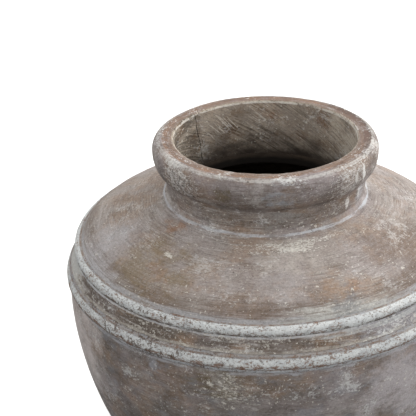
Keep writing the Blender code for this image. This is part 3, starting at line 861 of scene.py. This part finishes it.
# terracotta rubbed bare and brown on its flat, with a chipped lime edge that also carries a painted
# highlight, washed sides with painted light low on the right, and pale drips
rimRoll = {
    "outline": [
        (98.3, 420), (100.5, 419.9), (103.0, 419.9), (105.2, 420.0), (106.8, 419.8), (108.6, 419.1),
        (110.4, 417.9), (112.1, 416.0), (113.4, 413.5), (114.2, 410.8), (114.4, 408.0), (114.3, 404.6),
        (113.9, 400.8), (113.1, 397.0), (111.8, 393.6), (110.0, 390.8), (107.8, 388.6), (105.6, 387.0),
        (104.1, 385.4), (103.2, 383.2), (102.4, 380.6), (98.3, 386.2),
    ],
    "turns": 860, "finer": 3,
    "flakes": {"size": 3.6, "ragged": 1.8, "cut": (0.60, 0.68), "depth": 0.5,
               "above": (411, 416), "outside": (103, 106)},
    "base": "#7c736f", "lean": -0.7,
    "stains": cloudyWash(brown=0.9, grey=0.7, lime=0.8) + [
        stain("#645843", 16, 9, 92.6, (0.4, 0.54), 0.7, detail=8, rough=0.75,
            where=[("near", (-41, -105, 402), 34)], grip=0.35),
        streak("#8f959c", 18, 8, 99.4, (0.42, 0.56), 0.55, detail=8, rough=0.75,
            where=[("near", (14, -112, 403), 38)], grip=0.3),
        streak("#715b4d", 22, 6, 93.3, (0.34, 0.5), 0.88, detail=8, rough=0.72,
            where=[rimTop, ("radius", 90, 104.6, 1.2)], grip=0.4),
        streak("#8c6b54", 16, 3, 97.1, (0.48, 0.6), 0.5, detail=8, rough=0.72,
            where=[rimTop, ("radius", 97, 104.6, 1.2)], grip=0.4),
        stain("#503f37", 22, 6, 96.4, (0.2, 0.48), 0.8, detail=8, rough=0.72,
            where=[rimTop, ("near", (114, 16, 420), 120)], grip=0.3),
        # the pale line along the outer top edge: partly lime, partly a painted highlight along the edge
        stain("#c6c4bf", 3.4, 2.2, 94.4, (0.4, 0.5), 0.44, detail=8, rough=0.8, rise=0.1,
            where=[("height", 417.6, 423, 0.9), ("radius", 106.4, 116, 0.6)], grip=0.4,
            patch=patch(16, 9, 98.6, 0.5)),
        stain("#d3d1cc", 4.2, 3, 84.8, (0.42, 0.51), 0.7, detail=8, rough=0.8, rise=0.1,
            where=[("height", 414.6, 423, 1.2), ("radius", 105.4, 118, 0.9), ("near", (-86, -62, 419), 46)],
            grip=0.3),
        stain("#d0cdc9", 4.6, 3, 83.9, (0.42, 0.52), 0.7, detail=8, rough=0.8, rise=0.1,
            where=[("height", 412.0, 423, 1.8), ("radius", 106.0, 118, 0.9), ("near", (106, -22, 416), 40)],
            grip=0.3),
        stain("#d0ccc7", 3.2, 2.2, 90.3, (0.46, 0.51), 0.9, detail=6, rough=0.8, rise=0.1,
            where=[rollFace, ("near", (-84, -76, 404), 62)], grip=0.25),
        stain("#c5c1bd", 3.2, 2.0, 89.6, (0.45, 0.52), 0.7, detail=6, rough=0.8, rise=0.1,
            where=[rollFace, ("near", (82, -80, 402), 62)], grip=0.25),
        stain("#3f352e", 4.2, 2.6, 88.2, (0.5, 0.55), 0.8, detail=6, rough=0.8, rise=-0.1,
            where=[rollFace, ("near", (-84, -76, 401), 66)], grip=0.25),
        streak("#5f554e", 14, 1.6, 87.7, (0.52, 0.62), 0.5, detail=6, rough=0.75,
            where=[("height", 380, 412, 4)], grip=0.3),
        # painted light: the lower right of the roll is painted paler, against the shade at its lower edge
        stain("#a9a19e", 16, 10, 81.3, (0.36, 0.54), 0.6, detail=8, rough=0.74,
            where=[("near", (99, -56, 392), 26)], grip=0.3),
        stain("#aba39f", 18, 10, 80.4, (0.32, 0.52), 0.65, detail=8, rough=0.74,
            where=[("near", (-109, -30, 404), 42)], grip=0.3),
        stain("#dedcd8", 2.6, 6, 95.8, (0.24, 0.38), 0.9, detail=6, rough=0.75, rise=0.15,
            where=[("near", (95, -63, 406), 7.5, 3.0)], grip=0.6),
        stain("#d2cfcb", 2.6, 5, 86.1, (0.28, 0.42), 0.75, detail=6, rough=0.75, rise=0.12,
            where=[("near", (87, -73, 404), 7.0, 2.2)], grip=0.6),
        stain(clayColours["rust"], 3, 3, 18.4, (0.1, 0.2), 0.5, where=[("flaked", 0.4, 0.8)], grip=0.6),
    ] + fineMarks(specks=0.8) + [
        streak("#66534a", 12, 4, 79.9, (0.26, 0.48), 0.75, detail=8, rough=0.74,
            where=[rimTop, ("radius", 97.0, 104.8, 0.9), ("near", (104, 24, 420), 90)], grip=0.4),
    ],
}


def makeRoll():
    shape = rimRoll
    piece = turnOutline("rolledRim", finerLine(shape["outline"], shape["finer"]), shape["turns"])
    shapeByHand(piece)
    flakes = shape["flakes"]

    def flakeWeight(point):  # only the outer edge of the top wears
        radius = math.hypot(point.x, point.y) / mm
        return smoothstep(point.z / mm, *flakes["above"]) * smoothstep(radius, *flakes["outside"])

    chipSurface(piece, flakes, flakeWeight)
    finishPiece(piece, "rim_roll", washedClay("rubbedTerracotta", shape))


makeRoll()

# terracotta cut from a slab on a sanded board, plain and dusty. It and the coils inside hardly show
baseSlab = {
    "outline": [
        (0, 14.0), (60, 14.0), (115.0, 14.0), (109.6, 7.6), (105.2, 3.4), (103.2, 1.2), (100.4, 0.0),
        (60, 0), (0, 0),
    ],
    "turns": 200, "finer": 4,
    "base": "#655a52", "lean": 0.2, "stains": cloudyWash(lime=0.6) + fineMarks(lime=0.4),
}
floorCoil = {
    "outline": [
        (105.0, 31.0), (101.0, 25.0), (95.0, 19.6), (85.0, 13.6), (104.8, 13.6), (113.5, 30.6),
    ],
    "turns": 220, "finer": 5,
}
bellyCoil = {
    "outline": [
        (183.6, 308.6), (180.8, 304.6), (180.2, 298.0), (182.4, 291.0), (187.0, 286.8), (190.8, 286.6),
        (185.6, 308.6),
    ],
    "turns": 260, "finer": 3,
}


def makeInside(name, shape, node, material, closed=True):
    piece = turnOutline(name, finerLine(shape["outline"], shape["finer"], closed), shape["turns"], closed)
    shapeByHand(piece)
    finishPiece(piece, node, material)


sandedClay = washedClay("sandedTerracotta", baseSlab)
makeInside("footSlab", baseSlab, "base_slab", sandedClay, closed=False)
makeInside("floorCoil", floorCoil, "base_joint_coil", innerClay)
makeInside("bellyCoil", bellyCoil, "belly_joint_coil", innerClay)

studio = {
    "floorColour": "#f4f4f2", "floorRoughness": 0.9, "floorRadius": 14, "floorSides": 96,
    "skyTop": 0.90, "skyLevel": 1.55, "skyBelow": 0.12,  # light from overhead, all round and below
    "overheadEdge": (0.70, 0.92), "horizonEdge": (-0.12, 0.02),  # where each fades into the next
    "skyRight": 0.30, "skyBack": 0.22,  # how much brighter the ring of light is on the right and behind
    "key": {"place": (1.9, 1.2, 1.5), "aim": (0, 0, 0.3), "size": 1.5, "power": 50},
}
# fitted to the ellipses of the rim and the ridges: it looks down 26.5 degrees from just over a metre away
photoView = {
    "sensor": 36, "lens": 103.846, "place": (0, -1.116087, 0.89544),
    "right": (0.99882339, 0.03942494, -0.02824025), "up": (0.00760884, 0.4477117, 0.89414559),
    "back": (0.04789512, -0.8933084, 0.44688494),
}


def makeFloor():
    # matt white paper under the pot, which takes its shadow and throws no light back on it
    deselectAll()
    bpy.ops.mesh.primitive_circle_add(
        vertices=studio["floorSides"], radius=studio["floorRadius"], fill_type="NGON", location=(0, 0, 0),
    )
    floor = bpy.context.object
    floor.name = "studioFloor"
    paint = bpy.data.materials.new("mattPaperSweep")
    paint.use_nodes = True
    shader = paint.node_tree.nodes["Principled BSDF"]
    shader.inputs["Base Color"].default_value = linearColour(studio["floorColour"])
    shader.inputs["Roughness"].default_value = studio["floorRoughness"]
    floor.data.materials.append(paint)
    floor.visible_diffuse = False
    floor.visible_glossy = False


def lightStudio():
    world = bpy.data.worlds.new("softStudio")
    bpy.context.scene.world = world
    world.use_nodes = True
    tree = world.node_tree
    direction = addNode(tree, "ShaderNodeTexCoord").outputs["Generated"]
    height = addNode(tree, "ShaderNodeSeparateXYZ", {0: direction}).outputs["Z"]
    low, high = studio["overheadEdge"]
    overhead = addNode(
        tree, "ShaderNodeMapRange", {0: height},
        {"From Min": low, "From Max": high, "To Min": studio["skyLevel"], "To Max": studio["skyTop"]},
    ).outputs["Result"]
    low, high = studio["horizonEdge"]
    above = addNode(
        tree, "ShaderNodeMapRange", {0: height, "To Max": overhead},
        {"From Min": low, "From Max": high, "To Min": studio["skyBelow"]},
    ).outputs["Result"]
    lean = addNode(
        tree, "ShaderNodeVectorMath", {0: direction}, {1: (studio["skyRight"], studio["skyBack"], 0)},
        operation="DOT_PRODUCT",
    ).outputs["Value"]
    level = addNode(
        tree, "ShaderNodeMath", {0: above, 1: lean, 2: above}, operation="MULTIPLY_ADD",
    ).outputs[0]
    tree.links.new(level, tree.nodes["Background"].inputs["Color"])
    key = studio["key"]
    lamp = bpy.data.lights.new("softbox", "AREA")
    lamp.energy, lamp.size = key["power"], key["size"]
    softbox = bpy.data.objects.new("softbox", lamp)
    bpy.context.scene.collection.objects.link(softbox)
    softbox.location = key["place"]
    aim = Vector(key["aim"]) - Vector(key["place"])
    softbox.rotation_mode = "QUATERNION"
    softbox.rotation_quaternion = aim.to_track_quat("-Z", "Y")


def placeCamera():
    lens = bpy.data.cameras.new("photoLens")
    lens.sensor_width, lens.lens = photoView["sensor"], photoView["lens"]
    camera = bpy.data.objects.new("photoCamera", lens)
    bpy.context.scene.collection.objects.link(camera)
    turn = Matrix([Vector(photoView[axis]) for axis in ("right", "up", "back")]).transposed()
    camera.matrix_world = Matrix.Translation(photoView["place"]) @ turn.to_4x4()
    bpy.context.scene.camera = camera


makeFloor()
lightStudio()
placeCamera()
bpy.context.scene.view_settings.view_transform = "Standard"
print("stage: studio ready")
